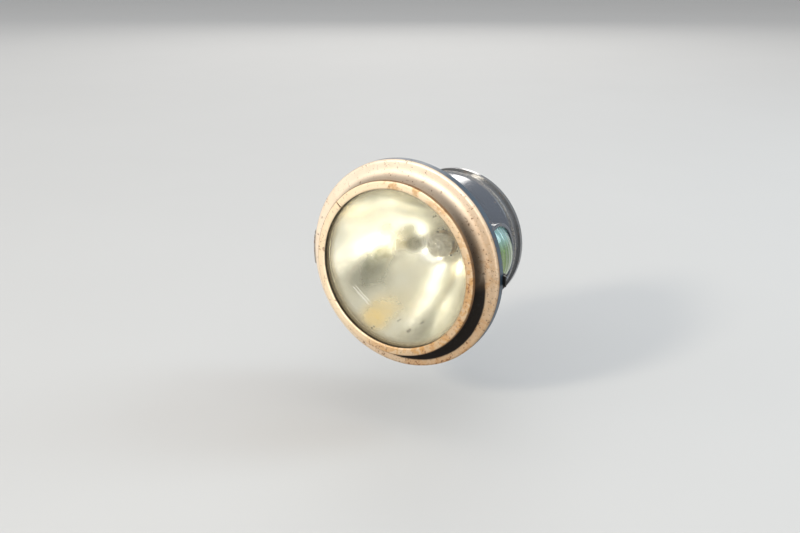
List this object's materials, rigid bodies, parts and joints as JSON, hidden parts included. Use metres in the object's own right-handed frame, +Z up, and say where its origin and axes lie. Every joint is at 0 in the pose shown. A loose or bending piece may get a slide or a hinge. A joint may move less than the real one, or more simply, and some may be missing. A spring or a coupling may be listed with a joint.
{
  "type": "cowl side lamp of an antique touring car",
  "caption": "Round drum side lamp on a flanged side bracket, with a hinged door, domed clear lens, green side jewel, reflector and bayonet bulb.",
  "frame": {"origin": "centre of the mounting foot's face, where it lies on the side of the cowl", "axes": "-Y the way the lamp shines, towards the car's front; +X outboard, to the car's left; +Z up. The cowl's side stands 25 degrees to the Y axis."},
  "size_m": [0.1591, 0.0985, 0.1334],
  "materials": {
    "weathered_brass": "worn",
    "black_enamel": "gloss",
    "silvered": "tarnished",
    "clear_glass": "gloss",
    "green_glass": "gloss",
    "black_rubber": "matte",
    "bright_steel": "satin",
    "cap_brass": "satin",
    "brown_fibre": "matte"
  },
  "bodies": {
    "lamp_body": {"drum": "black_enamel", "back_cap": "black_enamel", "mouth_ring": "silvered", "reflector": "silvered", "bulb_glass": "clear_glass", "bulb_cap": "cap_brass", "bulb_filament": "bright_steel", "bulb_holder": "cap_brass", "holder_insulator": "brown_fibre", "jewel_ring": "weathered_brass", "jewel_glass": "green_glass", "jewel_keeper": "bright_steel", "bracket": "black_enamel", "bracket_rivets": "black_enamel", "foot_pad": "black_rubber", "foot_studs": "bright_steel", "fixed_leaf": "bright_steel", "leaf_rivets": "bright_steel", "hinge_pin": "bright_steel", "catch_spring": "bright_steel", "catch_screw": "bright_steel"},
    "door": {"door_shell": "weathered_brass", "bezel_ring": "weathered_brass", "lens_seat": "weathered_brass", "lens_gasket": "black_rubber", "lens_glass": "clear_glass", "door_leaf": "bright_steel", "door_rivets": "bright_steel"}
  },
  "joints": [
    {"name": "door_hinge", "type": "hinge", "parent": "lamp_body", "child": "door", "pos_m": [-0.00175, -0.0352, 0], "axis": [0, 0, -1], "range_deg": [0, 85]}
  ]
}
